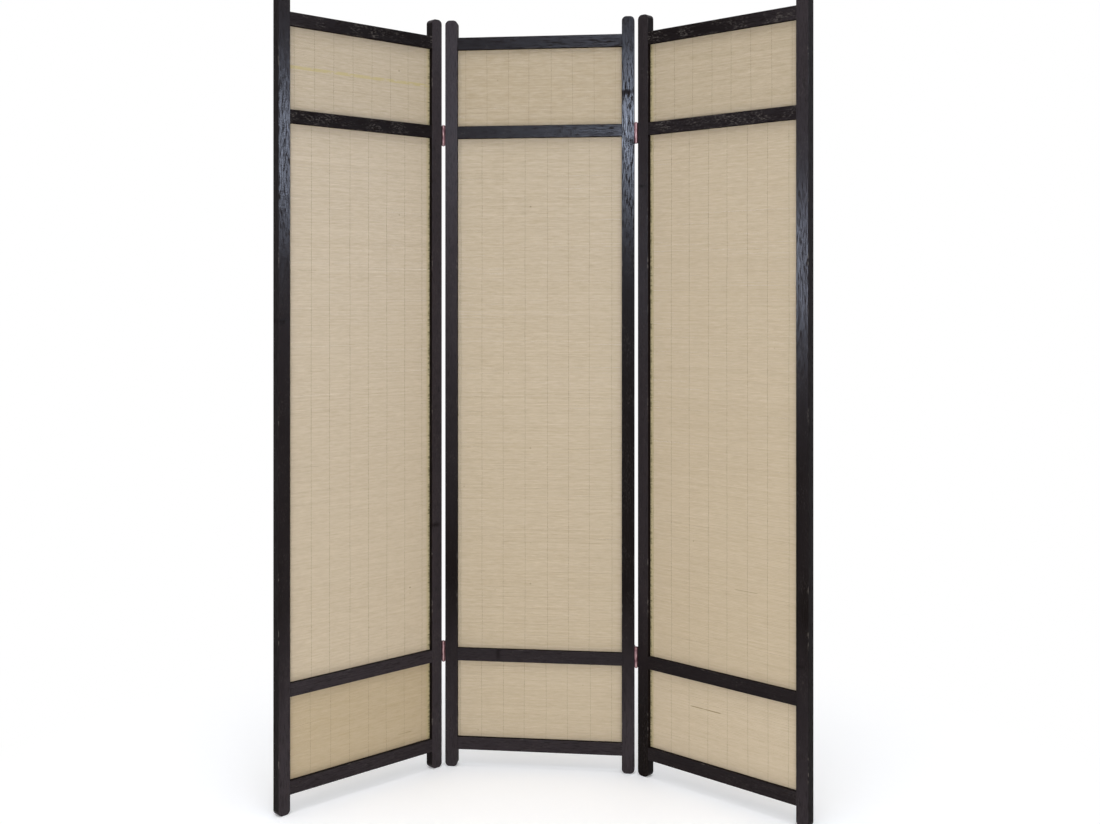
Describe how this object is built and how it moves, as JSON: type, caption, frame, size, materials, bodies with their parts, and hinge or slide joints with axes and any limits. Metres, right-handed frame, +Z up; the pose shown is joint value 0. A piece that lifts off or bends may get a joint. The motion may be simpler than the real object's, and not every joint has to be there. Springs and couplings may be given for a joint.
{
  "type": "folding screen",
  "caption": "Free-standing folding screen: slatted bamboo mats in dark stained wooden frames, joined by two-way hinges that let the outer panels fold to the front or the back.",
  "frame": {"origin": "on the floor, under the middle of the standing screen's bounding box", "axes": "+X to the right along the centre panel seen from the front, +Y to the back, +Z up; the wings come forward, towards -Y"},
  "size_m": [1.1662, 0.3656, 1.8],
  "materials": {
    "stained_wood": "dark stained and satin lacquered",
    "bamboo_mat": "natural split slats bound with thread",
    "beech_dowel": "plain",
    "hinge_metal": "aged copper plating",
    "hinge_pin": "aged copper plating",
    "hinge_screw": "aged copper plating"
  },
  "bodies": {
    "centre_panel": {"centre_panel_bottom_mat": "bamboo_mat", "centre_panel_bottom_rail": "stained_wood", "centre_panel_dowels": "beech_dowel", "centre_panel_left_stile": "stained_wood", "centre_panel_lower_middle_rail": "stained_wood", "centre_panel_middle_mat": "bamboo_mat", "centre_panel_right_stile": "stained_wood", "centre_panel_top_mat": "bamboo_mat", "centre_panel_top_rail": "stained_wood", "centre_panel_upper_middle_rail": "stained_wood", "left_front_hinge_pins": "hinge_pin", "left_hinges_centre_screws": "hinge_screw", "left_lower_hinge_centre_leaf": "hinge_metal", "left_upper_hinge_centre_leaf": "hinge_metal", "right_front_hinge_pins": "hinge_pin", "right_hinges_centre_screws": "hinge_screw", "right_lower_hinge_centre_leaf": "hinge_metal", "right_upper_hinge_centre_leaf": "hinge_metal"},
    "left_links": {"left_lower_hinge_link": "hinge_metal", "left_upper_hinge_link": "hinge_metal"},
    "left_panel": {"left_back_hinge_pins": "hinge_pin", "left_hinges_left_screws": "hinge_screw", "left_lower_hinge_wing_leaf": "hinge_metal", "left_panel_bottom_mat": "bamboo_mat", "left_panel_bottom_rail": "stained_wood", "left_panel_dowels": "beech_dowel", "left_panel_left_stile": "stained_wood", "left_panel_lower_middle_rail": "stained_wood", "left_panel_middle_mat": "bamboo_mat", "left_panel_right_stile": "stained_wood", "left_panel_top_mat": "bamboo_mat", "left_panel_top_rail": "stained_wood", "left_panel_upper_middle_rail": "stained_wood", "left_upper_hinge_wing_leaf": "hinge_metal"},
    "right_links": {"right_lower_hinge_link": "hinge_metal", "right_upper_hinge_link": "hinge_metal"},
    "right_panel": {"right_back_hinge_pins": "hinge_pin", "right_hinges_right_screws": "hinge_screw", "right_lower_hinge_wing_leaf": "hinge_metal", "right_panel_bottom_mat": "bamboo_mat", "right_panel_bottom_rail": "stained_wood", "right_panel_dowels": "beech_dowel", "right_panel_left_stile": "stained_wood", "right_panel_lower_middle_rail": "stained_wood", "right_panel_middle_mat": "bamboo_mat", "right_panel_right_stile": "stained_wood", "right_panel_top_mat": "bamboo_mat", "right_panel_top_rail": "stained_wood", "right_panel_upper_middle_rail": "stained_wood", "right_upper_hinge_wing_leaf": "hinge_metal"}
  },
  "joints": [
    {"name": "left_front_hinge", "type": "hinge", "parent": "centre_panel", "child": "left_links", "pos_m": [-0.26215, 0.15985, 0], "axis": [0, 0, 1], "range_deg": [-48.5, 131.5]},
    {"name": "left_back_hinge", "type": "hinge", "parent": "left_links", "child": "left_panel", "pos_m": [-0.28012, 0.17575, 0], "axis": [0, 0, -1], "range_deg": [0, 90]},
    {"name": "right_front_hinge", "type": "hinge", "parent": "centre_panel", "child": "right_links", "pos_m": [0.20085, 0.15985, 0], "axis": [0, 0, -1], "range_deg": [-36.5, 53.5]},
    {"name": "right_back_hinge", "type": "hinge", "parent": "right_links", "child": "right_panel", "pos_m": [0.21513, 0.17914, 0], "axis": [0, 0, 1], "range_deg": [0, 180]}
  ]
}
